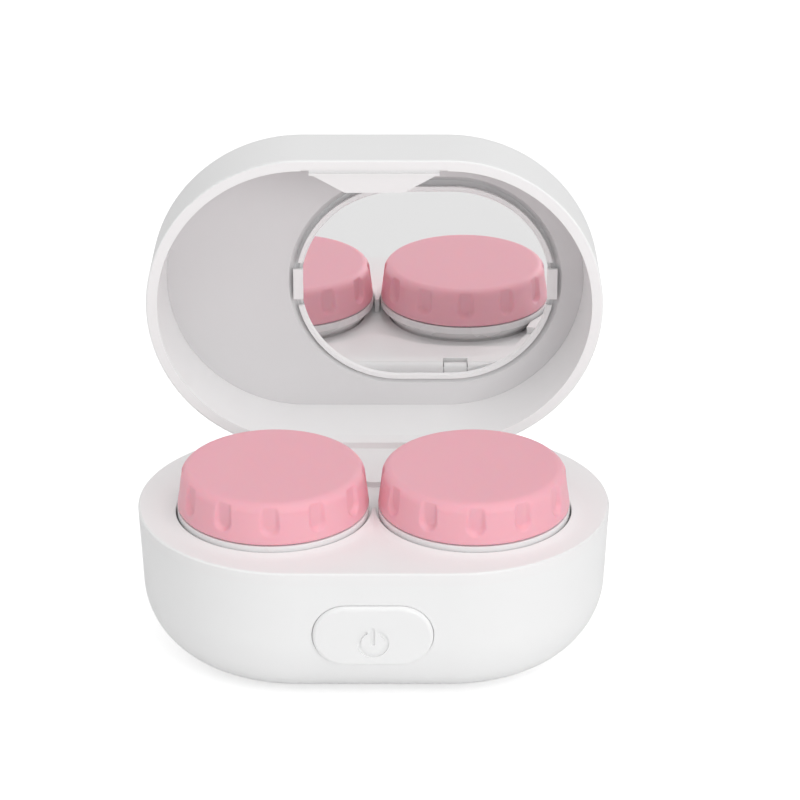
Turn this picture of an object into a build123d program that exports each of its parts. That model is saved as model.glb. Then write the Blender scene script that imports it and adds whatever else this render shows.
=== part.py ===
"""Contact lens cleaner: a white pod with two lens cups under pink screw caps and a mirrored lid.

Millimetres, +Z up. The origin is the middle of the base on the table, and the front with its
power button faces -Y. The lid stands open behind the caps.
"""

import os

from build123d import *
from math import atan, cos, degrees, radians, sin, sqrt, tan

os.makedirs("parts", exist_ok=True)

# pod body
body_width = 86.0
body_depth = 58.5
rim_height = 28.6  # the deck above the table
foot_drop = 0.4  # how far the feet stand below the housing
body_taper = 2.5  # degrees, the walls lean in towards the bottom
bottom_radius = 14.2
rim_edge = 0.35
wall = 1.8
deck_thickness = 1.8
floor_thickness = 2.4
seam_drop = 2.5  # the deck is welded to the shell along a seam this far below the rim
lip_drop = 1.6  # locating lip of the deck, inside the shell's wall
lip_thickness = 1.0
lip_gap = 0.1
fit_gap = 0.15  # loose gap between pieces that are assembled by hand

# lens cups and their wells
cup_spacing = 36.35  # between the two cup axes
cup_front = 25.15  # cup axes behind the front rim
well_radius = 17.7  # shallow recess round each cap
well_depth = 2.4
well_lip = 0.25
bead_height = 0.45  # low swell of the deck round each well
bead_reach = 2.8
pocket_radius = 15.8  # deep pocket that holds the cup
pocket_depth = 9.8
tank_wall = 1.4

# shelf behind the caps
shelf_drop = 1.3
shelf_half_width = 33.5
bay_behind = 20.5  # rear edge of the recess, behind the cup axes
bay_half_width = 28.0
nose_behind = 14.1  # the shelf's nose between the caps
nose_half_width = 16.5
ridge_width = 4.0  # rear ridge that carries the hinge

# hinge
hinge_inset = 1.95  # axis in from the rear face
hinge_drop = 1.9  # axis below the deck
pin_radius = 0.75
pin_play = 0.05
pin_fit = 0.01
knuckle_radius = 1.85
ear_radius = 1.6
knuckle_left = -8.2
knuckle_right = 13.4
knuckle_depth = 2.7  # the block's front face ahead of the axis
ear_width = 4.5
ear_gap = 0.2
pin_overhang = 1.6
hinge_seat_wall = 1.7

# lid
lid_height = 18.0
lid_gap = 0.2
lid_taper = 0.5
lid_open_angle = 91.2
lid_rim = 2.1
lid_inner_taper = 3.4
lid_edge_radius = 3.1
lid_top_thickness = 1.6
liner_depth = 15.0  # liner face behind the lid's rim
liner_fit = 0.02

# mirror
mirror_margin = 4.1  # liner left between the recess and the lid's right end
mirror_y = 0.45  # recess centre from the lid's centre, towards the hinge
mirror_drop = 0.4  # the frame sits this much lower than its recess
mirror_tilt = 1.05  # degrees, the mirror leans out at its top
glass_width = 47.6
glass_height = 37.6
glass_thickness = 0.6
bezel_land = 0.75
bezel_slope = 0.35
bezel_proud = 0.5
bezel_plate = 0.6
bezel_undercut = 0.55
mirror_gap = 1.35
reveal_angle = 42.0
backing_thickness = 0.2
clip_height = 6.2
clip_lap = 0.35  # each side clip reaches over the glass
clip_reach = 0.45  # and past the frame
clip_proud = 0.15
clip_notch = 1.3

# latch catch and magnets
catch_root_width = 24.2
catch_tip_width = 10.9
catch_tip_radius = 1.8
catch_length = 3.75
catch_root_gap = 0.5
catch_depth = 6.5
catch_inset = 0.1
groove_cut = 0.3
groove_overhang = 1.5
groove_depth = 0.5
magnet_length = 8.0
magnet_width = 2.4
magnet_thickness = 2.0
magnet_cover = 1.0

# caps and cups, heights from the deck
cap_radius = 17.33
cap_top_radius = 16.7
cap_bottom = 1.5
cap_height = 7.5
cap_edge = 1.9
cap_top_thickness = 1.55
cap_bore_radius = 15.25
flute_count = 12
flute_width = 3.5
flute_depth = 0.75
flute_bottom = 1.75
collar_radius = 17.4
collar_gap = 0.15
collar_edge = 1.4
collar_cone = 2.2
neck_radius = 14.9
neck_height = 5.25
cup_radius = 15.4
cup_foot_radius = 14.4
cup_floor_gap = 0.2
cup_wall = 1.8
bowl_depth = 14.2
seal_thickness = 0.75
seal_gap = 0.05

# button
button_width = 21.4
button_height = 11.9
button_drop = 12.4  # its centre below the deck
button_proud = 0.8
button_edge = 0.75
button_gap = 0.1
button_body = 1.75
flange_width = 25.2
flange_height = 7.6
flange_shift = 1.2
flange_gap = 0.35
flange_thickness = 1.0
stem_radius = 2.0
stem_length = 1.2
symbol_radius = 2.85
symbol_stroke = 0.75
symbol_drop = 1.25
symbol_depth = 0.35
symbol_opening = 64.0
symbol_bar_low = -0.5
symbol_bar_high = 3.2

# electronics
board_thickness = 1.2
board_width = 50.0
board_front_gap = 5.6  # front edge behind the cup axes
board_rear_gap = 3.25  # rear edge ahead of the back face
board_corner = 9.0
board_clearance = 1.5  # under the piezo discs
post_spread = 21.5
post_inner_spread = 4.5
post_behind = 15.1  # post rows behind the cup axes
post_inner_behind = 10.1
post_radius = 2.0
post_hole = 0.7
screw_play = 0.05
board_screw_length = 4.6
screw_head_radius = 1.5
screw_head = 0.9
port_width = 8.9
port_height = 3.2
port_length = 7.3
port_wall = 0.4
port_gap = 0.3
port_corner = 1.3
port_recess = 0.25
plate_radius = 9.0
plate_thickness = 1.2
piezo_radius = 7.0
piezo_thickness = 1.6
switch_size = 6.0
switch_body = 3.4
plunger_radius = 1.7
plunger_length = 1.0
plunger_gap = 0.45
switch_board_width = 13.6
switch_board_height = 11.0
rail_thickness = 1.4
rail_depth = 3.4
rail_length = 5.2  # below the button's centre
battery_length = 34.0
battery_width = 18.0
battery_clearance = 1.6  # under the board screws
pad_thickness = 1.2
coil_radius = 3.0
coil_height = 2.8
coil_x = 11.0
part_inset = 6.5  # coil and capacitor ahead of the board's rear edge
chip_size = 5.0
chip_height = 1.0
chip_x = 13.0
chip_inset = 8.2  # chips behind the board's front edge
capacitor_length = 3.2
capacitor_width = 1.8
capacitor_height = 1.6

# bottom cover
cover_length = 54.0
cover_width = 26.5
cover_thickness = 1.3
cover_seat = 1.4
hatch_length = 44.0
hatch_width = 22.5
cover_screw_x = 24.3
cover_boss_radius = 2.2
cover_boss_height = 6.0
cover_screw_radius = 0.8
cover_screw_length = 4.6
cover_head_radius = 1.7
cover_head = 0.7
foot_radius = 3.2
foot_x = 16.0
foot_y = 8.8
foot_seat = 0.5

# worked-out levels
half_depth = body_depth / 2
cup_y = cup_front - half_depth
bay_y = cup_y + bay_behind
nose_y = cup_y + nose_behind
lean = tan(radians(body_taper))
housing_bottom = foot_drop
deck_under = rim_height - deck_thickness
seam_level = rim_height - seam_drop
cavity_floor = housing_bottom + floor_thickness
well_floor = rim_height - well_depth
pocket_floor = rim_height - pocket_depth
tank_bottom = pocket_floor - tank_wall
shelf_level = rim_height - shelf_drop
hinge_y = half_depth - hinge_inset
hinge_z = rim_height - hinge_drop
board_top = tank_bottom - plate_thickness - piezo_thickness - board_clearance
board_z = board_top - board_thickness
board_front = cup_y + board_front_gap
board_rear = half_depth - board_rear_gap
battery_low = housing_bottom + cover_thickness + pad_thickness
battery_height = board_z - screw_head - battery_clearance - battery_low
button_z = rim_height - button_drop
rail_low = button_z - rail_length
cup_x = cup_spacing / 2
cup_places = {"left": (-cup_x, cup_y), "right": (cup_x, cup_y)}
post_places = [
    (-post_spread, cup_y + post_behind),
    (post_spread, cup_y + post_behind),
    (-post_inner_spread, cup_y + post_inner_behind),
    (post_inner_spread, cup_y + post_inner_behind),
]
foot_places = [(-foot_x, -foot_y), (foot_x, -foot_y), (-foot_x, foot_y), (foot_x, foot_y)]
cover_screw_places = [(-cover_screw_x, 0), (cover_screw_x, 0)]


def tapered_block(plane, width, depth, centre_y, height, taper, edge):
    """A stadium block that narrows away from its plane, with its far edge rounded."""
    with BuildPart() as block:
        with BuildSketch(plane):
            with Locations((0, centre_y)):
                SlotOverall(width, depth)
        extrude(amount=height, taper=taper)
        far_face = block.faces().sort_by(Axis(plane.origin, plane.z_dir))[-1]
        fillet(far_face.edges(), edge)
    return block.part


# the pod seen from below: blocks are drawn on the deck and grow downwards
deck_down = Plane(origin=(0, 0, rim_height), x_dir=(1, 0, 0), z_dir=(0, 0, -1))
outer_block = tapered_block(
    deck_down, body_width, body_depth, 0, rim_height - housing_bottom, body_taper, bottom_radius
)
cavity_block = tapered_block(
    deck_down.offset(deck_thickness),
    body_width - 2 * wall - 2 * deck_thickness * lean,
    body_depth - 2 * wall - 2 * deck_thickness * lean,
    0,
    deck_under - cavity_floor,
    body_taper,
    bottom_radius - wall,
)

# the recess round both caps, with its bay behind them
bay_angle = 38.0
bay_start_x = cup_x + well_radius * cos(radians(bay_angle))
bay_start_y = cup_y + well_radius * sin(radians(bay_angle))
with BuildSketch() as recess_outline:
    with Locations((-cup_x, cup_y), (cup_x, cup_y)):
        Circle(well_radius)
    with BuildLine():
        rear_wave = Spline(
            (-nose_half_width, bay_y),
            (0, nose_y),
            (nose_half_width, bay_y),
            tangents=((1, 0), (1, 0)),
        )
        Polyline(
            rear_wave @ 1,
            (bay_half_width, bay_y),
            (bay_start_x, bay_start_y),
            (cup_x, cup_y),
            (-cup_x, cup_y),
            (-bay_start_x, bay_start_y),
            (-bay_half_width, bay_y),
            rear_wave @ 0,
        )
    make_face()

# the lowered shelf, from the recess back to the rear ridge
with BuildSketch() as shelf_outline:
    SlotOverall(body_width - 2 * ridge_width, body_depth - 2 * ridge_width)
    with Locations((0, (nose_y + half_depth) / 2)):
        Rectangle(2 * shelf_half_width, half_depth - nose_y, mode=Mode.INTERSECT)
    add(recess_outline.sketch, mode=Mode.SUBTRACT)

# ear slots at both sides of the hinge block
ear_spans = [
    (knuckle_left - ear_gap - ear_width, knuckle_left - ear_gap),
    (knuckle_right + ear_gap, knuckle_right + ear_gap + ear_width),
]
pin_left = ear_spans[0][0] - ear_gap - pin_overhang
pin_right = ear_spans[1][1] + ear_gap + pin_overhang
swing_half_width = sqrt(half_depth**2 - hinge_y**2) + (body_width - body_depth) / 2 + 1.0
slot_reach = ear_radius + ear_gap

# the wall behind the button leans like the front wall
button_y = -(half_depth - (rim_height - button_z) * lean)
button_plane = Plane(
    origin=(0, button_y, button_z),
    x_dir=(1, 0, 0),
    z_dir=(0, -cos(radians(body_taper)), -sin(radians(body_taper))),
)
flange_back = -(wall + flange_gap + flange_thickness)
stem_end = flange_back - stem_length
plunger_tip = stem_end - plunger_gap
switch_front = plunger_tip - plunger_length
switch_back = switch_front - switch_body

# the charging port sits on the board at the back wall
port_z = board_top + port_height / 2
port_mouth = half_depth - (rim_height - port_z) * lean - port_recess
magnet_y = -(half_depth - lid_rim - catch_root_gap - catch_length / 2)

# the hinge seat fills a notch in the shell's back wall
seat_left = pin_left - hinge_seat_wall
seat_right = pin_right + hinge_seat_wall
seat_front = hinge_y - slot_reach - hinge_seat_wall
seat_low = hinge_z - slot_reach - hinge_seat_wall
lip_plane = deck_down.offset(seam_drop)
lip_outer_width = body_width - 2 * wall - 2 * seam_drop * lean - 2 * lip_gap
lip_outer_depth = body_depth - 2 * wall - 2 * seam_drop * lean - 2 * lip_gap

with BuildPart() as base_shell:
    add(outer_block)
    add(cavity_block, mode=Mode.SUBTRACT)
    # open top, and the notch for the hinge seat
    with BuildSketch(Plane.XY.offset(seam_level)):
        Rectangle(2 * body_width, 2 * body_depth)
    extrude(amount=rim_height, mode=Mode.SUBTRACT)
    with BuildSketch(Plane.XY.offset(seat_low)):
        with Locations(((seat_left + seat_right) / 2, seat_front)):
            Rectangle(seat_right - seat_left, body_depth, align=(Align.CENTER, Align.MIN))
    extrude(amount=rim_height, mode=Mode.SUBTRACT)
    # bosses for the cover screws
    with BuildSketch(Plane.XY.offset(housing_bottom + cover_seat)):
        with Locations(*cover_screw_places):
            Circle(cover_boss_radius)
    extrude(amount=cover_boss_height - cover_seat - housing_bottom)
    # button opening through the front wall
    with BuildSketch(button_plane.offset(2)):
        SlotOverall(button_width + 2 * button_gap, button_height + 2 * button_gap)
    extrude(amount=-(2 + wall + 2), mode=Mode.SUBTRACT)
    # charging port opening in the back wall
    with BuildSketch(Plane.XZ.offset(-half_depth - 1)):
        with Locations((0, port_z)):
            RectangleRounded(
                port_width + 2 * port_gap, port_height + 2 * port_gap, port_corner + port_gap
            )
    extrude(amount=wall + 3, mode=Mode.SUBTRACT)
    # seat and hatch for the bottom cover
    with BuildSketch(Plane.XY.offset(housing_bottom)):
        SlotOverall(cover_length, cover_width)
    extrude(amount=cover_seat, mode=Mode.SUBTRACT)
    with BuildSketch(Plane.XY.offset(housing_bottom)):
        SlotOverall(hatch_length, hatch_width)
    extrude(amount=floor_thickness + 0.5, mode=Mode.SUBTRACT)
    with BuildSketch(Plane.XY.offset(housing_bottom)):
        with Locations(*cover_screw_places):
            Circle(cover_screw_radius + screw_play)
    extrude(amount=cover_boss_height, mode=Mode.SUBTRACT)
base_shell.part.label = "base_shell"

with BuildPart() as deck_works:
    # tray under the recess and the shelf
    with BuildSketch(Plane.XY.offset(well_floor - tank_wall)):
        add(recess_outline.sketch)
        add(shelf_outline.sketch)
        offset(amount=tank_wall)
    extrude(amount=deck_under - well_floor + tank_wall)
    # tanks round the cup pockets
    with BuildSketch(Plane.XY.offset(tank_bottom)):
        with Locations((-cup_x, cup_y), (cup_x, cup_y)):
            Circle(pocket_radius + tank_wall)
    extrude(amount=deck_under - tank_bottom)
    # posts for the main board
    with BuildSketch(Plane.XY.offset(board_top)):
        with Locations(*post_places):
            Circle(post_radius)
    extrude(amount=well_floor - board_top - 0.5)
    # rails that hold the switch board
    rail_x = switch_board_width / 2 + fit_gap + rail_thickness / 2
    rail_y = button_y - switch_back
    with BuildSketch(Plane.XY.offset(rail_low)):
        with Locations((-rail_x, rail_y), (rail_x, rail_y)):
            Rectangle(rail_thickness, rail_depth)
    extrude(amount=deck_under - rail_low)
    # locating lip inside the shell's wall
    with BuildSketch(lip_plane):
        SlotOverall(lip_outer_width, lip_outer_depth)
    extrude(amount=lip_drop, taper=body_taper)
    with BuildSketch(lip_plane):
        SlotOverall(lip_outer_width - 2 * lip_thickness, lip_outer_depth - 2 * lip_thickness)
        with Locations((-cup_x, -cup_y), (cup_x, -cup_y)):
            Circle(pocket_radius + tank_wall, mode=Mode.SUBTRACT)
        with Locations((-rail_x, -rail_y), (rail_x, -rail_y)):
            Rectangle(rail_thickness, rail_depth, mode=Mode.SUBTRACT)
    extrude(amount=lip_drop, mode=Mode.SUBTRACT)
    with BuildSketch(Plane.XY.offset(seam_level)):
        SlotOverall(lip_outer_width, lip_outer_depth)
        SlotOverall(
            lip_outer_width - 2 * lip_thickness,
            lip_outer_depth - 2 * lip_thickness,
            mode=Mode.SUBTRACT,
        )
    extrude(amount=deck_under - seam_level)
    # seat round the hinge
    with BuildSketch(Plane.XY.offset(seat_low)):
        with Locations(((seat_left + seat_right) / 2, seat_front)):
            Rectangle(seat_right - seat_left, body_depth / 4, align=(Align.CENTER, Align.MIN))
    extrude(amount=deck_under - seat_low)
    add(outer_block, mode=Mode.INTERSECT)

with BuildPart() as top_deck:
    add(outer_block)
    fillet(top_deck.faces().sort_by(Axis.Z)[-1].edges(), rim_edge)
    add(cavity_block, mode=Mode.SUBTRACT)
    with BuildSketch(Plane.XY.offset(seam_level)):
        Rectangle(2 * body_width, 2 * body_depth)
    extrude(amount=-rim_height, mode=Mode.SUBTRACT)
    add(deck_works.part)
    # low swell of the deck round each well
    for place_x, place_y in cup_places.values():
        with BuildSketch(Plane(origin=(place_x, place_y, 0), x_dir=(1, 0, 0), z_dir=(0, -1, 0))):
            with BuildLine():
                swell = Spline(
                    (well_radius, rim_height + bead_height),
                    (well_radius + bead_reach * 0.45, rim_height + bead_height * 0.42),
                    (well_radius + bead_reach, rim_height),
                    tangents=((1, 0), (1, 0)),
                )
                Polyline(
                    swell @ 1,
                    (well_radius + bead_reach, rim_height - deck_thickness / 2),
                    (well_radius - 1, rim_height - deck_thickness / 2),
                    (well_radius - 1, rim_height + bead_height),
                    swell @ 0,
                )
            make_face()
        revolve(axis=Axis((place_x, place_y, 0), (0, 0, 1)))
    # recess, pockets and shelf
    with BuildSketch(Plane.XY.offset(well_floor)):
        add(recess_outline.sketch)
    extrude(amount=well_depth + 1, mode=Mode.SUBTRACT)
    with BuildSketch(Plane.XY.offset(pocket_floor)):
        with Locations((-cup_x, cup_y), (cup_x, cup_y)):
            Circle(pocket_radius)
    extrude(amount=pocket_depth, mode=Mode.SUBTRACT)
    with BuildSketch(Plane.XY.offset(shelf_level)):
        add(shelf_outline.sketch)
    extrude(amount=shelf_drop + 1, mode=Mode.SUBTRACT)
    # rounded lip round each well
    lip_low = rim_height + bead_height - well_lip
    for place_x, place_y in cup_places.values():
        with BuildSketch(Plane(origin=(place_x, place_y, 0), x_dir=(1, 0, 0), z_dir=(0, -1, 0))):
            with BuildLine():
                lip = CenterArc(
                    (well_radius + well_lip, lip_low), well_lip, 90, 90
                )
                Polyline(
                    lip @ 0,
                    (well_radius + well_lip, rim_height + 1),
                    (well_radius - 2, rim_height + 1),
                    (well_radius - 2, lip_low),
                    lip @ 1,
                )
            make_face()
        revolve(axis=Axis((place_x, place_y, 0), (0, 0, 1)), mode=Mode.SUBTRACT)
    # the rear ridge is rounded about the hinge axis so that the lid can swing over it
    with BuildSketch(Plane.YZ.offset(-swing_half_width)):
        with Locations((hinge_y, hinge_z)):
            Rectangle(half_depth, 2 * half_depth, align=(Align.MIN, Align.MIN))
            Circle(knuckle_radius, mode=Mode.SUBTRACT)
    extrude(amount=2 * swing_half_width, mode=Mode.SUBTRACT)
    # hinge block between the two ears
    with BuildSketch(Plane.YZ.offset(knuckle_left)):
        with Locations((hinge_y, hinge_z)):
            Circle(knuckle_radius)
            Rectangle(knuckle_depth, knuckle_radius, align=(Align.MAX, Align.MIN))
    extrude(amount=knuckle_right - knuckle_left)
    for span_left, span_right in ear_spans:
        with BuildSketch(Plane.YZ.offset(span_left - ear_gap)):
            with Locations((hinge_y - slot_reach, hinge_z - slot_reach)):
                Rectangle(half_depth, half_depth, align=(Align.MIN, Align.MIN))
        extrude(amount=span_right - span_left + 2 * ear_gap, mode=Mode.SUBTRACT)
    with BuildSketch(Plane.YZ.offset(pin_left - 0.1)):
        with Locations((hinge_y, hinge_z)):
            Circle(pin_radius + pin_fit)
    extrude(amount=pin_right - pin_left + 0.2, mode=Mode.SUBTRACT)
    # magnet pocket under the front of the deck
    with BuildSketch(Plane.XY.offset(rim_height - magnet_cover)):
        with Locations((0, magnet_y)):
            Rectangle(magnet_length + fit_gap, magnet_width + fit_gap)
    extrude(amount=-deck_thickness, mode=Mode.SUBTRACT)
    # screw holes in the posts
    with BuildSketch(Plane.XY.offset(board_top)):
        with Locations(*post_places):
            Circle(post_hole)
    extrude(amount=board_screw_length - board_thickness + 0.3, mode=Mode.SUBTRACT)
top_deck.part.label = "top_deck"

with BuildPart() as bottom_cover:
    with BuildSketch(Plane.XY.offset(housing_bottom)):
        SlotOverall(cover_length - 2 * fit_gap, cover_width - 2 * fit_gap)
    extrude(amount=cover_thickness)
    with Locations(Plane(origin=(0, 0, housing_bottom), x_dir=(1, 0, 0), z_dir=(0, 0, -1))):
        with Locations(*cover_screw_places):
            CounterBoreHole(
                cover_screw_radius + screw_play, cover_head_radius + screw_play, cover_head
            )
        with Locations(*foot_places):
            Hole(foot_radius + screw_play, depth=foot_seat)
bottom_cover.part.label = "bottom_cover"

with BuildPart() as cover_screws:
    with BuildSketch(Plane.XY.offset(housing_bottom + 0.05)):
        with Locations(*cover_screw_places):
            Circle(cover_head_radius)
    extrude(amount=cover_head - 0.05)
    with BuildSketch(Plane.XY.offset(housing_bottom + 0.05)):
        with Locations(*cover_screw_places):
            Circle(cover_screw_radius)
    extrude(amount=cover_screw_length)
cover_screws.part.label = "cover_screws"

with BuildPart() as rubber_feet:
    with BuildSketch():
        with Locations(*foot_places):
            Circle(foot_radius)
    extrude(amount=foot_drop + foot_seat)
rubber_feet.part.label = "rubber_feet"

with BuildPart() as main_board:
    with BuildSketch(Plane.XY.offset(board_z)):
        with Locations((0, board_front)):
            board_face = Rectangle(
                board_width, board_rear - board_front, align=(Align.CENTER, Align.MIN)
            )
        chamfer(board_face.vertices().group_by(Axis.Y)[-1], board_corner)
        with Locations(*post_places):
            Circle(post_hole, mode=Mode.SUBTRACT)
    extrude(amount=board_thickness)
main_board.part.label = "main_board"

with BuildPart() as board_parts:
    # a coil, two chips and a capacitor on the board's top
    with BuildSketch(Plane.XY.offset(board_top)):
        with Locations((-coil_x, board_rear - part_inset)):
            Circle(coil_radius)
    extrude(amount=coil_height)
    with BuildSketch(Plane.XY.offset(board_top)):
        with Locations(
            (chip_x, board_front + chip_inset), (-chip_x, board_front + chip_inset)
        ):
            Rectangle(chip_size, chip_size)
    extrude(amount=chip_height)
    with BuildSketch(Plane.XY.offset(board_top)):
        with Locations((coil_x, board_rear - part_inset)):
            Rectangle(capacitor_length, capacitor_width)
    extrude(amount=capacitor_height)
board_parts.part.label = "board_parts"

with BuildPart() as board_screws:
    with BuildSketch(Plane.XY.offset(board_z - screw_head)):
        with Locations(*post_places):
            Circle(screw_head_radius)
    extrude(amount=screw_head)
    with BuildSketch(Plane.XY.offset(board_z - screw_head)):
        with Locations(*post_places):
            Circle(post_hole - screw_play)
    extrude(amount=screw_head + board_screw_length)
board_screws.part.label = "board_screws"

with BuildPart() as usb_socket:
    with BuildSketch(Plane.XZ.offset(-port_mouth)):
        with Locations((0, port_z)):
            RectangleRounded(port_width, port_height, port_corner)
    extrude(amount=port_length)
    with BuildSketch(Plane.XZ.offset(-port_mouth)):
        with Locations((0, port_z)):
            RectangleRounded(
                port_width - 2 * port_wall, port_height - 2 * port_wall, port_corner - port_wall
            )
    extrude(amount=port_length - 1, mode=Mode.SUBTRACT)
    with BuildSketch(Plane.XZ.offset(-port_mouth + 0.6)):
        with Locations((0, port_z)):
            Rectangle(port_width - 6 * port_wall, 0.7)
    extrude(amount=port_length - 1)
usb_socket.part.label = "usb_socket"

with BuildPart() as battery:
    with BuildSketch(Plane.XY.offset(battery_low)):
        Rectangle(battery_length, battery_width)
    extrude(amount=battery_height)
    fillet(battery.edges().filter_by(Axis.Z), 2.0)
battery.part.label = "battery"

with BuildPart() as battery_pad:
    with BuildSketch(Plane.XY.offset(housing_bottom + cover_thickness)):
        Rectangle(battery_length * 0.75, battery_width * 0.7)
    extrude(amount=pad_thickness)
battery_pad.part.label = "battery_pad"

with BuildPart() as power_switch:
    with BuildSketch(button_plane.offset(switch_back)):
        Rectangle(switch_size, switch_size)
    extrude(amount=switch_body)
    with BuildSketch(button_plane.offset(switch_front)):
        Circle(plunger_radius)
    extrude(amount=plunger_length)
power_switch.part.label = "power_switch"

with BuildPart() as switch_board:
    with BuildSketch(button_plane.offset(switch_back)):
        Rectangle(switch_board_width, switch_board_height)
    extrude(amount=-board_thickness)
switch_board.part.label = "switch_board"

with BuildPart() as base_magnet:
    with BuildSketch(Plane.XY.offset(rim_height - magnet_cover)):
        with Locations((0, magnet_y)):
            Rectangle(magnet_length, magnet_width)
    extrude(amount=-magnet_thickness)
base_magnet.part.label = "base_magnet"

with BuildPart() as hinge_pin:
    with BuildSketch(Plane.YZ.offset(pin_left)):
        with Locations((hinge_y, hinge_z)):
            Circle(pin_radius)
    extrude(amount=pin_right - pin_left)
hinge_pin.part.label = "hinge_pin"

# the power button, with the power sign cut into its face
symbol_half_gap = symbol_opening / 2
with BuildPart() as power_button:
    with BuildSketch(button_plane.offset(-button_body)):
        SlotOverall(button_width, button_height)
    extrude(amount=button_body + button_proud)
    front_edges = power_button.faces().sort_by(Axis(button_plane.origin, button_plane.z_dir))[-1]
    fillet(front_edges.edges(), button_edge)
    with BuildSketch(button_plane.offset(flange_back)):
        with Locations((0, flange_shift)):
            RectangleRounded(flange_width, flange_height, 1.5)
    extrude(amount=flange_thickness)
    with BuildSketch(button_plane.offset(flange_back + flange_thickness)):
        with Locations((0, flange_shift)):
            RectangleRounded(button_width - 4, flange_height, 1.5)
    extrude(amount=wall + flange_gap - button_body + 0.1)
    with BuildSketch(button_plane.offset(flange_back)):
        Circle(stem_radius)
    extrude(amount=-stem_length)
    with BuildSketch(button_plane.offset(button_proud)):
        with BuildLine(Plane((0, -symbol_drop, 0))):
            start = 90 + symbol_half_gap
            sweep_angle = 360 - symbol_opening
            CenterArc((0, 0), symbol_radius - symbol_stroke / 2, start, sweep_angle)
            offset(amount=symbol_stroke / 2)
        make_face()
        with Locations((0, -symbol_drop + (symbol_bar_low + symbol_bar_high) / 2)):
            SlotOverall(symbol_bar_high - symbol_bar_low, symbol_stroke, rotation=90)
    extrude(amount=-symbol_depth, mode=Mode.SUBTRACT)
power_button.part.label = "power_button"

# the round pieces are drawn once on the z axis, then placed in both wells
with BuildPart() as transducer_plate:
    with BuildSketch(Plane.XY.offset(tank_bottom)):
        Circle(plate_radius)
    extrude(amount=-plate_thickness)

with BuildPart() as piezo_disc:
    with BuildSketch(Plane.XY.offset(tank_bottom - plate_thickness)):
        Circle(piezo_radius)
    extrude(amount=-piezo_thickness)

# heights in the profiles are above the table, radii from the cup's axis
half_pitch = 180 / flute_count
profile_plane = Plane.XZ.rotated((0, 0, half_pitch))
cap_low = rim_height + cap_bottom
collar_top = cap_low - collar_gap
neck_top = collar_top + neck_height
cup_low = pocket_floor + cup_floor_gap
bowl_radius = neck_radius - cup_wall
bowl_low = neck_top - bowl_depth

with BuildPart() as lens_cup:
    with BuildSketch(profile_plane):
        with BuildLine():
            bowl = ThreePointArc(
                (0, bowl_low),
                (bowl_radius * 0.72, bowl_low + bowl_radius * 0.16),
                (bowl_radius, bowl_low + bowl_radius * 0.5),
            )
            Polyline(
                bowl @ 1,
                (bowl_radius, neck_top),
                (neck_radius, neck_top),
                (neck_radius, collar_top),
                (collar_radius, collar_top),
                (collar_radius, collar_top - collar_edge),
                (cup_radius, collar_top - collar_edge - collar_cone),
                (cup_foot_radius + 0.6, cup_low + 1.2),
                (cup_foot_radius - 0.6, cup_low),
                (0, cup_low),
                bowl @ 0,
            )
        make_face()
    revolve(axis=Axis.Z)

cap_top = cap_low + cap_height
cap_inner_top = cap_top - cap_top_thickness
with BuildPart() as cap_seal:
    with BuildSketch(Plane.XY.offset(cap_inner_top - seal_gap - seal_thickness)):
        Circle(neck_radius)
        Circle(bowl_radius, mode=Mode.SUBTRACT)
    extrude(amount=seal_thickness)

# flutes are upright round grooves with ball-shaped lower ends
flute_radius = ((flute_width / 2) ** 2 + flute_depth**2) / (2 * flute_depth)
flute_axis_radius = (cap_radius + cap_top_radius) / 2 + flute_radius - flute_depth
flute_low = cap_low + flute_bottom + flute_width / 2
with BuildPart() as flute_cutter:
    with BuildSketch(Plane.XY.offset(-flute_radius)):
        Circle(flute_radius)
    extrude(amount=flute_radius + cap_height)
    fillet(flute_cutter.faces().sort_by(Axis.Z)[0].edges(), flute_radius * 0.98)

with BuildPart() as cap:
    with BuildSketch(profile_plane):
        with BuildLine():
            edge = CenterArc(
                (cap_top_radius - cap_edge, cap_top - cap_edge), cap_edge, 0, 90
            )
            Polyline(
                edge @ 1,
                (0, cap_top),
                (0, cap_inner_top),
                (cap_bore_radius, cap_inner_top),
                (cap_bore_radius, cap_low),
                (cap_radius, cap_low),
                edge @ 0,
            )
        make_face()
    revolve(axis=Axis.Z)
    with Locations((0, 0, flute_low)):
        with PolarLocations(flute_axis_radius, flute_count):
            add(flute_cutter.part, mode=Mode.SUBTRACT)

round_pieces = {
    "transducer_plate": transducer_plate.part,
    "piezo_disc": piezo_disc.part,
    "lens_cup": lens_cup.part,
    "cap_seal": cap_seal.part,
    "cap": cap.part,
}
for side, (place_x, place_y) in cup_places.items():
    for piece, drawn in round_pieces.items():
        placed = drawn.moved(Location((place_x, place_y, 0)))
        placed.label = f"{side}_{piece}"
        export_step(placed, f"parts/{side}_{piece}.step")

# the lid is drawn closed, on a plane through the hinge axis that is swung open
lid_lean = radians(lid_open_angle)
lid_plane = Plane(
    origin=(0, hinge_y, hinge_z), x_dir=(1, 0, 0), z_dir=(0, sin(lid_lean), cos(lid_lean))
)
lid_axis = Axis(lid_plane.origin, lid_plane.z_dir)
rim_level = hinge_drop + lid_gap
lid_centre = -hinge_y


def lid_depth(depth):
    """The plane at this depth behind the lid's rim."""
    return lid_plane.offset(rim_level + depth)


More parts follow.
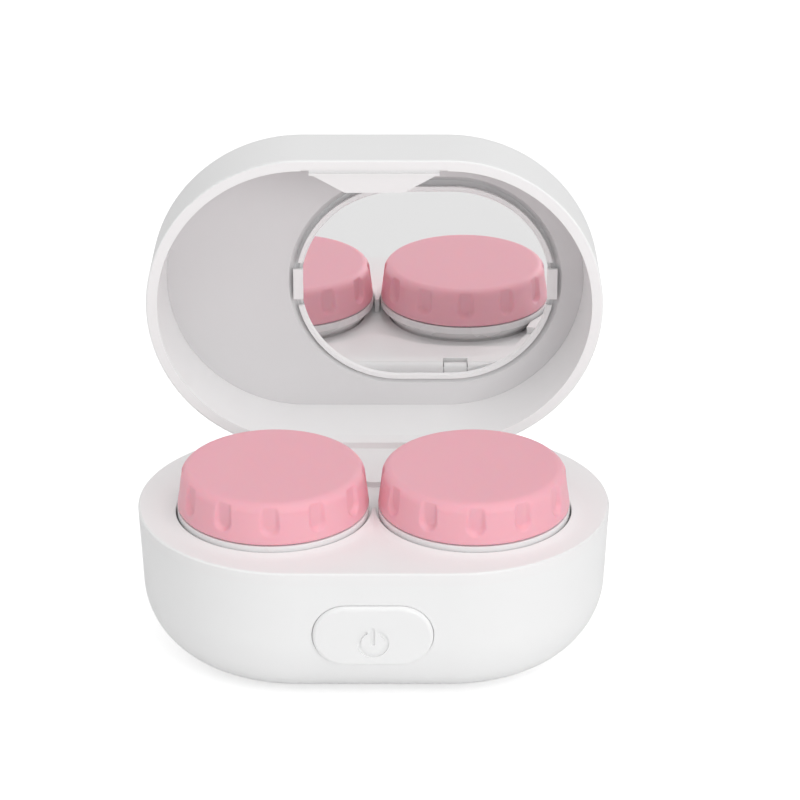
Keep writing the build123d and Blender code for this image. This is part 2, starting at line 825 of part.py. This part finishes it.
lid_outer = tapered_block(
    lid_depth(0), body_width, body_depth, lid_centre, lid_height, lid_taper, lid_edge_radius
)
lid_inside = lid_height - lid_top_thickness
with BuildPart() as lid_shell:
    add(lid_outer)
    rim_face = lid_shell.faces().sort_by(lid_axis)[0]
    fillet(rim_face.edges(), rim_edge)
    with BuildSketch(lid_depth(0)):
        with Locations((0, lid_centre)):
            SlotOverall(body_width - 2 * lid_rim, body_depth - 2 * lid_rim)
    extrude(amount=lid_inside, taper=lid_inner_taper, mode=Mode.SUBTRACT)
    # shallow groove in the rim over the catch
    groove_y = lid_centre - half_depth + lid_rim - groove_cut
    with BuildSketch(lid_depth(0)):
        with Locations((0, groove_y)):
            Rectangle(
                catch_root_width + 2 * groove_overhang,
                groove_cut + catch_root_gap,
                align=(Align.CENTER, Align.MIN),
            )
    extrude(amount=groove_depth, mode=Mode.SUBTRACT)
    # hinge ears
    for span_left, span_right in ear_spans:
        with BuildSketch(Plane.YZ.offset(span_left)):
            with Locations((hinge_y, hinge_z)):
                Circle(ear_radius)
        extrude(amount=span_right - span_left)
        with BuildSketch(lid_plane):
            with Locations(((span_left + span_right) / 2, hinge_inset - lid_rim)):
                Rectangle(
                    span_right - span_left,
                    ear_radius + lid_rim - hinge_inset,
                    align=(Align.CENTER, Align.MIN),
                )
        extrude(amount=rim_level + 0.6)
    with BuildSketch(Plane.YZ.offset(pin_left)):
        with Locations((hinge_y, hinge_z)):
            Circle(pin_radius + pin_play)
    extrude(amount=pin_right - pin_left, mode=Mode.SUBTRACT)
lid_shell.part.label = "lid_shell"

# the liner follows the lid's tapered wall, and mirror outlines grow outwards from the glass
liner_inset = lid_rim + liner_depth * tan(radians(lid_inner_taper)) + liner_fit
frame_width = glass_width + 2 * (bezel_slope + bezel_land)
frame_height = glass_height + 2 * (bezel_slope + bezel_land)
recess_width = frame_width + 2 * mirror_gap
recess_height = frame_height + 2 * mirror_gap
mirror_x = body_width / 2 - liner_inset - recess_width / 2 - mirror_margin
mirror_place = (mirror_x, lid_centre + mirror_y)
liner_back = lid_inside - backing_thickness
liner_thickness = liner_back - liner_depth
mirror_lean = lid_lean - radians(mirror_tilt)
glass_plane = Plane(
    origin=lid_depth(liner_depth).from_local_coords((mirror_x, lid_centre + mirror_y + mirror_drop, 0)),
    x_dir=(1, 0, 0),
    z_dir=(0, sin(mirror_lean), cos(mirror_lean)),
)
land_plane = glass_plane.offset(-bezel_proud)

with BuildPart() as lid_liner:
    with BuildSketch(lid_depth(liner_depth)):
        with Locations((0, lid_centre)):
            SlotOverall(body_width - 2 * liner_inset, body_depth - 2 * liner_inset)
    extrude(amount=liner_thickness, taper=lid_inner_taper)
    with BuildSketch(lid_depth(liner_depth)):
        with Locations(mirror_place):
            SlotOverall(recess_width, recess_height)
    extrude(amount=liner_thickness, taper=reveal_angle, mode=Mode.SUBTRACT)
lid_liner.part.label = "lid_liner"

with BuildPart() as mirror_frame:
    with BuildSketch(land_plane):
        SlotOverall(frame_width, frame_height)
    extrude(amount=bezel_plate)
    with BuildSketch(land_plane):
        SlotOverall(frame_width - 2 * bezel_undercut, frame_height - 2 * bezel_undercut)
    extrude(amount=2 * liner_depth - lid_inside)
    # notches above and below each side clip
    with BuildSketch(land_plane):
        for clip_side in (-1, 1):
            for clip_end in (-1, 1):
                with Locations(
                    (
                        clip_side * (glass_width + clip_lap) / 2,
                        clip_end * (clip_height + clip_notch) / 2,
                    )
                ):
                    Rectangle(4 * bezel_land, clip_notch)
    extrude(amount=bezel_proud + glass_thickness, mode=Mode.SUBTRACT)
    # opening with its sloped inner edge, and the seat of the glass
    with BuildSketch(land_plane):
        SlotOverall(glass_width + 2 * bezel_slope, glass_height + 2 * bezel_slope)
    extrude(
        amount=bezel_proud, taper=degrees(atan(bezel_slope / bezel_proud)), mode=Mode.SUBTRACT
    )
    with BuildSketch(glass_plane):
        SlotOverall(glass_width, glass_height)
    extrude(amount=liner_depth, mode=Mode.SUBTRACT)
    # side clips over the glass
    for clip_side in (-1, 1):
        with BuildSketch(glass_plane):
            with Locations((clip_side * (glass_width / 2 - clip_lap), 0)):
                Rectangle(
                    clip_lap + bezel_slope + bezel_land + clip_reach,
                    clip_height,
                    align=(Align.MIN if clip_side > 0 else Align.MAX, Align.CENTER),
                )
        extrude(amount=-(bezel_proud + clip_proud))
    # the frame ends on the backing
    with BuildSketch(lid_depth(liner_back)):
        with Locations(mirror_place):
            Rectangle(2 * frame_width, 2 * frame_height)
    extrude(amount=2 * liner_depth, mode=Mode.SUBTRACT)
mirror_frame.part.label = "mirror_frame"

with BuildPart() as mirror_glass:
    with BuildSketch(glass_plane):
        SlotOverall(glass_width, glass_height)
    extrude(amount=glass_thickness)
mirror_glass.part.label = "mirror_glass"

with BuildPart() as mirror_backing:
    with BuildSketch(glass_plane.offset(glass_thickness)):
        SlotOverall(glass_width, glass_height)
    extrude(amount=2 * liner_thickness)
    with BuildSketch(lid_depth(liner_back)):
        with Locations(mirror_place):
            Rectangle(2 * frame_width, 2 * frame_height)
    extrude(amount=2 * liner_depth, mode=Mode.SUBTRACT)
    with BuildSketch(lid_depth(liner_back)):
        with Locations(mirror_place):
            SlotOverall(recess_width, recess_height)
    extrude(amount=backing_thickness)
mirror_backing.part.label = "mirror_backing"

# the catch: a tapered tab behind the front rim, whose root fills up to the lid's wall
wall_line = lid_centre - half_depth + lid_rim
catch_root = wall_line + catch_root_gap
with BuildPart() as lid_catch:
    with BuildSketch(lid_depth(catch_inset)):
        with BuildLine():
            Polyline(
                (-catch_root_width / 2, catch_root),
                (catch_root_width / 2, catch_root),
                (catch_tip_width / 2, catch_root + catch_length),
                (-catch_tip_width / 2, catch_root + catch_length),
                close=True,
            )
        make_face()
    extrude(amount=catch_depth)
    tip_edges = lid_catch.edges().filter_by(lid_axis).group_by(Axis.Z)[0]
    fillet(tip_edges, catch_tip_radius)
    with BuildSketch(lid_depth(0)):
        with Locations((0, wall_line)):
            Rectangle(
                catch_root_width, catch_root_gap + 0.4, align=(Align.CENTER, Align.MIN)
            )
    extrude(amount=catch_inset + catch_depth)
    with BuildSketch(lid_depth(0)):
        with Locations((0, wall_line - groove_cut)):
            Rectangle(
                2 * catch_root_width, groove_cut + catch_root_gap, align=(Align.CENTER, Align.MIN)
            )
    extrude(amount=groove_depth, mode=Mode.SUBTRACT)
    with BuildSketch(lid_depth(0)):
        with Locations((0, lid_centre)):
            SlotOverall(body_width - 2 * lid_rim, body_depth - 2 * lid_rim)
    extrude(amount=lid_inside, taper=lid_inner_taper, mode=Mode.INTERSECT)
    with BuildSketch(lid_depth(magnet_cover)):
        with Locations((0, catch_root + catch_length / 2)):
            Rectangle(magnet_length + fit_gap, magnet_width + fit_gap)
    extrude(amount=catch_depth, mode=Mode.SUBTRACT)
lid_catch.part.label = "lid_catch"

with BuildPart() as lid_magnet:
    with BuildSketch(lid_depth(magnet_cover)):
        with Locations((0, catch_root + catch_length / 2)):
            Rectangle(magnet_length, magnet_width)
    extrude(amount=magnet_thickness)
lid_magnet.part.label = "lid_magnet"

export_step(base_shell.part, "parts/base_shell.step")
export_step(top_deck.part, "parts/top_deck.step")
export_step(bottom_cover.part, "parts/bottom_cover.step")
export_step(cover_screws.part, "parts/cover_screws.step")
export_step(rubber_feet.part, "parts/rubber_feet.step")
export_step(main_board.part, "parts/main_board.step")
export_step(board_parts.part, "parts/board_parts.step")
export_step(board_screws.part, "parts/board_screws.step")
export_step(usb_socket.part, "parts/usb_socket.step")
export_step(battery.part, "parts/battery.step")
export_step(battery_pad.part, "parts/battery_pad.step")
export_step(power_switch.part, "parts/power_switch.step")
export_step(switch_board.part, "parts/switch_board.step")
export_step(base_magnet.part, "parts/base_magnet.step")
export_step(hinge_pin.part, "parts/hinge_pin.step")
export_step(power_button.part, "parts/power_button.step")
export_step(lid_shell.part, "parts/lid_shell.step")
export_step(lid_liner.part, "parts/lid_liner.step")
export_step(mirror_frame.part, "parts/mirror_frame.step")
export_step(mirror_glass.part, "parts/mirror_glass.step")
export_step(mirror_backing.part, "parts/mirror_backing.step")
export_step(lid_catch.part, "parts/lid_catch.step")
export_step(lid_magnet.part, "parts/lid_magnet.step")
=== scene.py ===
import bpy
import bmesh
from math import atan2, cos, pi, radians, sin, sqrt
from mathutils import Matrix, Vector


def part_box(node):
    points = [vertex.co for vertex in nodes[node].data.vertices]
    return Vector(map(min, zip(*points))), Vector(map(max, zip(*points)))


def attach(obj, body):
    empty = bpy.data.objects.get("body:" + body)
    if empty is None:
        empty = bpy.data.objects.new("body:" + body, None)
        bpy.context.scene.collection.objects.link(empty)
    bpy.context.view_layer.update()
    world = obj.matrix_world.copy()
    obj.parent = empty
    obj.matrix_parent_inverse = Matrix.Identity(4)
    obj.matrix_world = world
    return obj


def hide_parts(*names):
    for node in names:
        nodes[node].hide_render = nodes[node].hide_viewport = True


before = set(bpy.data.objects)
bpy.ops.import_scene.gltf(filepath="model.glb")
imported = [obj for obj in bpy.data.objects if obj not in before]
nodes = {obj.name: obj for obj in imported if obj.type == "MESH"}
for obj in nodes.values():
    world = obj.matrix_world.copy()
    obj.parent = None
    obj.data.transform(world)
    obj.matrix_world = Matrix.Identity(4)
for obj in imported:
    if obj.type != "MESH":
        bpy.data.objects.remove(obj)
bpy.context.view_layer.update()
scene = bpy.context.scene
print("frame loaded:", len(nodes), "nodes")

mm = 0.001
white = (1, 1, 1, 1)


cameraSettings = {
    "lens": 146.7,
    "sensor": 36.0,
    "place": (4.78 * mm, -534.1 * mm, 293.2 * mm),
    "lookDown": 24.6,  # degrees below the horizon
    "clipStart": 0.01,
    "clipEnd": 20,
}

skySettings = {
    "colour": white,
    "strength": 0.56,
    "seenStrength": 1.0,  # the sky where the camera looks past the floor
    "mirrored": 0.4,  # how far the sky seen in gloss and mirror goes towards the seen one
}

# round lights, all aimed at one point in the object
areaLights = {
    "keyLight": {"place": (0.7, -0.98, 0.5), "size": 0.8, "power": 4.2},
    "topLight": {"place": (0.2, -0.3, 1.2), "size": 0.9, "power": 3.8},
    "fillLight": {"place": (-0.7, -1.0, 0.35), "size": 0.9, "power": 1.0},
}
lightTarget = (0, 0, 0.03)

floorSettings = {
    "size": 8.0,
    "colour": (0.91, 0.91, 0.91),
    "glow": 0.5,  # seen by the camera alone, so it lights nothing
}


def makeCamera(settings):
    data = bpy.data.cameras.new("photoCamera")
    data.lens = settings["lens"]
    data.sensor_width = settings["sensor"]
    data.clip_start = settings["clipStart"]
    data.clip_end = settings["clipEnd"]
    camera = bpy.data.objects.new("photoCamera", data)
    camera.location = settings["place"]
    camera.rotation_euler = (radians(90 - settings["lookDown"]), 0, 0)
    scene.collection.objects.link(camera)
    scene.camera = camera


def makeAreaLight(name, settings, target):
    data = bpy.data.lights.new(name, "AREA")
    data.shape = "DISK"
    data.size = settings["size"]
    data.energy = settings["power"]
    light = bpy.data.objects.new(name, data)
    light.location = settings["place"]
    aim = Vector(target) - Vector(settings["place"])
    light.rotation_euler = aim.to_track_quat("-Z", "Y").to_euler()
    scene.collection.objects.link(light)


def makeSky(settings):
    world = bpy.data.worlds.new("studioSky")
    scene.world = world
    world.use_nodes = True
    tree = world.node_tree
    tree.nodes.clear()
    path = tree.nodes.new("ShaderNodeLightPath")
    lighting = tree.nodes.new("ShaderNodeBackground")
    lighting.inputs["Color"].default_value = settings["colour"]
    lighting.inputs["Strength"].default_value = settings["strength"]
    seen = tree.nodes.new("ShaderNodeBackground")
    seen.inputs["Color"].default_value = settings["colour"]
    seen.inputs["Strength"].default_value = settings["seenStrength"]
    mirrored = tree.nodes.new("ShaderNodeMath")
    mirrored.operation = "MULTIPLY"
    mirrored.inputs[1].default_value = settings["mirrored"]
    share = tree.nodes.new("ShaderNodeMath")
    share.operation = "MAXIMUM"
    mixed = tree.nodes.new("ShaderNodeMixShader")
    out = tree.nodes.new("ShaderNodeOutputWorld")
    tree.links.new(path.outputs["Is Camera Ray"], share.inputs[0])
    tree.links.new(path.outputs["Is Glossy Ray"], mirrored.inputs[0])
    tree.links.new(mirrored.outputs[0], share.inputs[1])
    tree.links.new(share.outputs[0], mixed.inputs[0])
    tree.links.new(lighting.outputs[0], mixed.inputs[1])
    tree.links.new(seen.outputs[0], mixed.inputs[2])
    tree.links.new(mixed.outputs[0], out.inputs["Surface"])


def makeFloor(settings):
    shape = bmesh.new()
    bmesh.ops.create_grid(shape, x_segments=1, y_segments=1, size=settings["size"])
    mesh = bpy.data.meshes.new("studioFloor")
    shape.to_mesh(mesh)
    shape.free()
    floor = bpy.data.objects.new("studioFloor", mesh)
    scene.collection.objects.link(floor)
    finish = bpy.data.materials.new("studioFloor")
    finish.use_nodes = True
    tree = finish.node_tree
    tree.nodes.clear()
    matte = tree.nodes.new("ShaderNodeBsdfDiffuse")
    matte.inputs["Color"].default_value = (*settings["colour"], 1)
    glow = tree.nodes.new("ShaderNodeEmission")
    glow.inputs["Color"].default_value = white
    path = tree.nodes.new("ShaderNodeLightPath")
    strength = tree.nodes.new("ShaderNodeMath")
    strength.operation = "MULTIPLY"
    strength.inputs[1].default_value = settings["glow"]
    both = tree.nodes.new("ShaderNodeAddShader")
    out = tree.nodes.new("ShaderNodeOutputMaterial")
    tree.links.new(path.outputs["Is Camera Ray"], strength.inputs[0])
    tree.links.new(strength.outputs[0], glow.inputs["Strength"])
    tree.links.new(matte.outputs[0], both.inputs[0])
    tree.links.new(glow.outputs[0], both.inputs[1])
    tree.links.new(both.outputs[0], out.inputs["Surface"])
    mesh.materials.append(finish)


makeCamera(cameraSettings)
makeSky(skySettings)
for lightName, settings in areaLights.items():
    makeAreaLight(lightName, settings, lightTarget)
makeFloor(floorSettings)
scene.view_settings.view_transform = "Standard"
print("camera and lights ready")


# moulded plastics: a fine texture in the surface and a slow change in its gloss
plasticCommon = {
    "roughSpread": 0.05,
    "grain": 2600,
    "grainDetail": 3,
    "bump": 0.02,
    "bumpHeight": 0.2 * mm,
    "patches": 45,
    "patchDetail": 4,
    "mottle": 0.006,  # how far the colour strays to each side
    "glow": 0.0,  # share of the light that passes through the surface
    "glowReach": (1.0, 1.0, 1.0),
    "glowScale": 1.0 * mm,
    "refraction": 1.46,
}
plasticSettings = {
    "whitePlastic": {
        "colour": (0.905, 0.905, 0.905), "rough": 0.36,
        "glow": 0.04, "glowReach": (0.6, 0.55, 0.55),
    },
    # red a touch above green and blue: a faint painted pink bounce from the caps on the white deck
    "deckPlasticPinkBounce": {
        "colour": (0.905, 0.900, 0.900), "rough": 0.40,
        "glow": 0.04, "glowReach": (0.6, 0.5, 0.5),
    },
    # the lid's inside is the same white plastic; this greyer copy is painted shade for the dim
    # inside of the open lid
    "shadedLinerPlastic": {
        "colour": (0.73, 0.73, 0.735), "rough": 0.55, "roughSpread": 0.04,
        "grain": 1800, "bump": 0.03,
    },
    "bezelPlastic": {
        "colour": (0.88, 0.88, 0.88), "rough": 0.32, "roughSpread": 0.04,
    },
    # the cups are white plastic; this greyer, pinker colour is painted shade under the cap's
    # overhang and painted pink bounce from the cap
    "shadedCupPlastic": {
        "colour": (0.88, 0.86, 0.865), "rough": 0.28, "roughSpread": 0.04,
        "grain": 2200, "bump": 0.015,
        "glow": 0.1, "glowReach": (1.0, 0.7, 0.7),
    },
    "pinkPlastic": {
        "colour": (0.91, 0.45, 0.52), "rough": 0.46,
        "grain": 2000, "bump": 0.03, "mottle": 0.01,
        "glow": 0.4, "glowReach": (1.0, 0.15, 0.25), "glowScale": 1.5 * mm,
    },
    "sealRubber": {
        "colour": (0.80, 0.78, 0.78), "rough": 0.62,
        "grain": 1500, "bump": 0.03, "mottle": 0.02,
    },
    "footRubber": {
        "colour": (0.62, 0.62, 0.62), "rough": 0.75, "roughSpread": 0.06,
        "grain": 1300, "bump": 0.06, "mottle": 0.03,
    },
    "darkFoam": {
        "colour": (0.05, 0.05, 0.055), "rough": 0.9,
        "grain": 1100, "bump": 0.25, "mottle": 0.2,
    },
    "boardLaminate": {
        "colour": (0.03, 0.20, 0.09), "rough": 0.35, "roughSpread": 0.08,
        "grain": 900, "bump": 0.04, "mottle": 0.12,
    },
    "blackPlastic": {
        "colour": (0.02, 0.02, 0.022), "rough": 0.45, "roughSpread": 0.08,
        "grain": 1500, "bump": 0.05, "mottle": 0.1,
    },
    "piezoCeramic": {
        "colour": (0.62, 0.56, 0.44), "rough": 0.5, "roughSpread": 0.08,
        "grain": 1800, "bump": 0.05, "mottle": 0.08,
    },
}

# metals: a grain that the stretch draws out into brushing; the mirror has it as a faint film
metalCommon = {
    "detail": 4,
    "bump": 0.05,
    "bumpHeight": 0.2 * mm,
    "stretch": (1, 1, 1),
}
metalSettings = {
    "brushedSteel": {
        "colour": (0.60, 0.60, 0.62), "rough": 0.32, "roughSpread": 0.12,
        "grain": 900, "stretch": (0.06, 1, 1),
    },
    "platedMetal": {
        "colour": (0.72, 0.72, 0.74), "rough": 0.16, "roughSpread": 0.06,
        "grain": 700,
    },
    "foil": {
        "colour": (0.66, 0.67, 0.69), "rough": 0.34, "roughSpread": 0.16,
        "grain": 260, "stretch": (1, 0.3, 1),
    },
    "silveredMirror": {
        "colour": (0.93, 0.93, 0.93), "rough": 0.015, "roughSpread": 0.015,
        "grain": 60, "detail": 5, "bump": 0,
    },
}


def addNoise(tree, vector, scale, detail):
    noise = tree.nodes.new("ShaderNodeTexNoise")
    noise.inputs["Scale"].default_value = scale
    noise.inputs["Detail"].default_value = detail
    tree.links.new(vector, noise.inputs["Vector"])
    return noise.outputs["Fac"]


def addRoughness(tree, shader, noise, settings):
    roughness = tree.nodes.new("ShaderNodeMapRange")
    roughness.inputs["To Min"].default_value = settings["rough"] - settings["roughSpread"]
    roughness.inputs["To Max"].default_value = settings["rough"] + settings["roughSpread"]
    tree.links.new(noise, roughness.inputs["Value"])
    tree.links.new(roughness.outputs["Result"], shader.inputs["Roughness"])


def addBump(tree, shader, noise, settings):
    bump = tree.nodes.new("ShaderNodeBump")
    bump.inputs["Strength"].default_value = settings["bump"]
    bump.inputs["Distance"].default_value = settings["bumpHeight"]
    tree.links.new(noise, bump.inputs["Height"])
    tree.links.new(bump.outputs["Normal"], shader.inputs["Normal"])


def makePlastic(name, settings):
    finish = bpy.data.materials.new(name)
    finish.use_nodes = True
    tree = finish.node_tree
    shader = tree.nodes["Principled BSDF"]
    coords = tree.nodes.new("ShaderNodeTexCoord")
    grain = addNoise(tree, coords.outputs["Object"], settings["grain"], settings["grainDetail"])
    patches = addNoise(tree, coords.outputs["Object"], settings["patches"], settings["patchDetail"])
    addRoughness(tree, shader, patches, settings)
    addBump(tree, shader, grain, settings)
    tone = tree.nodes.new("ShaderNodeMix")
    tone.data_type = "RGBA"
    darker = 1 - settings["mottle"]
    lighter = 1 + settings["mottle"]
    tone.inputs["A"].default_value = (*[c * darker for c in settings["colour"]], 1)
    tone.inputs["B"].default_value = (*[min(1, c * lighter) for c in settings["colour"]], 1)
    tree.links.new(patches, tone.inputs["Factor"])
    tree.links.new(tone.outputs["Result"], shader.inputs["Base Color"])
    shader.inputs["Subsurface Weight"].default_value = settings["glow"]
    shader.inputs["Subsurface Radius"].default_value = settings["glowReach"]
    shader.inputs["Subsurface Scale"].default_value = settings["glowScale"]
    shader.inputs["IOR"].default_value = settings["refraction"]
    return finish


def makeMetal(name, settings):
    finish = bpy.data.materials.new(name)
    finish.use_nodes = True
    tree = finish.node_tree
    shader = tree.nodes["Principled BSDF"]
    coords = tree.nodes.new("ShaderNodeTexCoord")
    drawn = tree.nodes.new("ShaderNodeMapping")
    drawn.inputs["Scale"].default_value = settings["stretch"]
    tree.links.new(coords.outputs["Object"], drawn.inputs["Vector"])
    brushing = addNoise(tree, drawn.outputs["Vector"], settings["grain"], settings["detail"])
    addRoughness(tree, shader, brushing, settings)
    if settings["bump"]:
        addBump(tree, shader, brushing, settings)
    shader.inputs["Base Color"].default_value = (*settings["colour"], 1)
    shader.inputs["Metallic"].default_value = 1.0
    return finish


finishes = {}
for name, settings in plasticSettings.items():
    finishes[name] = makePlastic(name, {**plasticCommon, **settings})
for name, settings in metalSettings.items():
    finishes[name] = makeMetal(name, {**metalCommon, **settings})

nodeFinish = {
    "base_shell": "whitePlastic",
    "top_deck": "deckPlasticPinkBounce",
    "bottom_cover": "whitePlastic",
    "cover_screws": "brushedSteel",
    "rubber_feet": "footRubber",
    "main_board": "boardLaminate",
    "board_parts": "blackPlastic",
    "board_screws": "brushedSteel",
    "battery": "foil",
    "battery_pad": "darkFoam",
    "usb_socket": "brushedSteel",
    "left_transducer_plate": "brushedSteel",
    "right_transducer_plate": "brushedSteel",
    "left_piezo_disc": "piezoCeramic",
    "right_piezo_disc": "piezoCeramic",
    "switch_board": "boardLaminate",
    "power_switch": "blackPlastic",
    "base_magnet": "platedMetal",
    "lid_magnet": "platedMetal",
    "hinge_pin": "brushedSteel",
    "power_button": "whitePlastic",
    "lid_shell": "whitePlastic",
    "lid_liner": "shadedLinerPlastic",
    "mirror_frame": "bezelPlastic",
    "mirror_glass": "silveredMirror",
    "mirror_backing": "shadedLinerPlastic",
    "lid_catch": "bezelPlastic",
    "left_lens_cup": "shadedCupPlastic",
    "right_lens_cup": "shadedCupPlastic",
    "left_cap_seal": "sealRubber",
    "right_cap_seal": "sealRubber",
    "left_cap": "pinkPlastic",
    "right_cap": "pinkPlastic",
}
for nodeName, finishName in nodeFinish.items():
    for materialSlot in nodes[nodeName].material_slots:
        materialSlot.material = finishes[finishName]
print("finishes ready:", len(finishes))


capSettings = {
    "edgeRadius": 1.9 * mm,
    "footRadius": 0.35 * mm,
    "topRadius": 16.7 * mm,
    "boreRadius": 15.25 * mm,
    "roofThickness": 1.55 * mm,
    "flutes": 12,
    "fluteWidth": 3.5 * mm,
    "fluteDepth": 0.85 * mm,
    "fluteStart": 1.75 * mm,
    "fluteWall": 0.8 * mm,  # width of the hollow's sloping side
    "softness": 0.18 * mm,
    "skin": 0.1 * mm,  # what lies this close to the bore keeps its place
    "steps": 480,
    "roofRows": 6,
    "footRows": 4,
    "wallRows": 24,
    "edgeRows": 16,
    "topRows": 8,
    "edgeFrom": 3,  # degrees; the wall's last row already stands at 0
    "mergeDistance": 0.001 * mm,
}


def addArc(points, centre, radius, start, end, count):
    for i in range(count + 1):
        angle = radians(start + (end - start) * i / count)
        points.append((centre[0] + radius * cos(angle), centre[1] + radius * sin(angle)))


# the cap's outline as radius and height, from the roof's underside round to the top
def capProfile(radius, height, settings):
    bore = settings["boreRadius"]
    foot = settings["footRadius"]
    edge = settings["edgeRadius"]
    top = settings["topRadius"]
    roof = height - settings["roofThickness"]
    wallTop = height - edge
    points = []
    for i in range(settings["roofRows"] + 1):
        points.append((bore * i / settings["roofRows"], roof))
    points.append((bore, roof / 2))
    points.append((bore, 0))
    addArc(points, (radius - foot, foot), foot, -90, 0, settings["footRows"])
    for i in range(1, settings["wallRows"] + 1):
        t = i / settings["wallRows"]
        points.append((radius + (top - radius) * t, foot + (wallTop - foot) * t))
    addArc(points, (top - edge, wallTop), edge, settings["edgeFrom"], 90, settings["edgeRows"])
    for i in range(1, settings["topRows"] + 1):
        t = 1 - i / settings["topRows"]
        points.append(((top - edge) * t, height))
    return points


# turns a profile of radius and height into a closed bmesh round Z
def spinProfile(points, settings):
    shape = bmesh.new()
    verts = [shape.verts.new((r, 0, z)) for r, z in points]
    edges = [shape.edges.new(pair) for pair in zip(verts, verts[1:])]
    bmesh.ops.spin(
        shape, geom=verts + edges, axis=(0, 0, 1), cent=(0, 0, 0), dvec=(0, 0, 0),
        angle=2 * pi, steps=settings["steps"], use_merge=True,
    )
    bmesh.ops.remove_doubles(shape, verts=shape.verts[:], dist=settings["mergeDistance"])
    bmesh.ops.recalc_face_normals(shape, faces=shape.faces[:])
    return shape


# the lower of two values, with the corner where they cross rounded off
def softMin(a, b, softness):
    share = max(0.0, min(1.0, 0.5 + 0.5 * (b - a) / softness))
    return b * (1 - share) + a * share - softness * share * (1 - share)


# presses the grip flutes into the wall: flat floors, sloping sides and round lower ends
def pressFlutes(shape, radius, settings):
    halfWidth = settings["fluteWidth"] / 2
    fluteFloor = (radius + settings["topRadius"]) / 2 - settings["fluteDepth"]
    pitch = 2 * pi / settings["flutes"]
    start = settings["fluteStart"] + halfWidth
    for vert in shape.verts:
        out = sqrt(vert.co.x ** 2 + vert.co.y ** 2)
        if out < settings["boreRadius"] + settings["skin"] or vert.co.z < settings["footRadius"]:
            continue
        angle = atan2(vert.co.y, vert.co.x)
        across = (angle / pitch - round(angle / pitch)) * pitch * out
        below = max(0.0, start - vert.co.z)
        reach = sqrt(across ** 2 + below ** 2)
        side = max(0.0, reach - halfWidth + settings["fluteWall"]) / settings["fluteWall"]
        groove = fluteFloor + settings["fluteDepth"] * side ** 2
        wanted = softMin(out, groove, settings["softness"])
        vert.co.x *= wanted / out
        vert.co.y *= wanted / out


def finishPiece(shape, name, place, finish, body, replaced):
    bmesh.ops.translate(shape, vec=place, verts=shape.verts[:])
    mesh = bpy.data.meshes.new(name)
    shape.to_mesh(mesh)
    shape.free()
    for face in mesh.polygons:
        face.use_smooth = True
    mesh.materials.append(finishes[finish])
    piece = bpy.data.objects.new(name, mesh)
    scene.collection.objects.link(piece)
    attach(piece, body)
    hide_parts(*replaced)


def makeCap(hand, settings):
    low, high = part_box(hand + "_cap")
    radius = (high.x - low.x) / 2
    shape = spinProfile(capProfile(radius, high.z - low.z, settings), settings)
    pressFlutes(shape, radius, settings)
    place = ((low.x + high.x) / 2, (low.y + high.y) / 2, low.z)
    finishPiece(
        shape, hand + "ScrewCap", place, "pinkPlastic",
        hand + "_cap", [hand + "_cap"],
    )


for hand in ("left", "right"):
    makeCap(hand, capSettings)
print("caps ready")
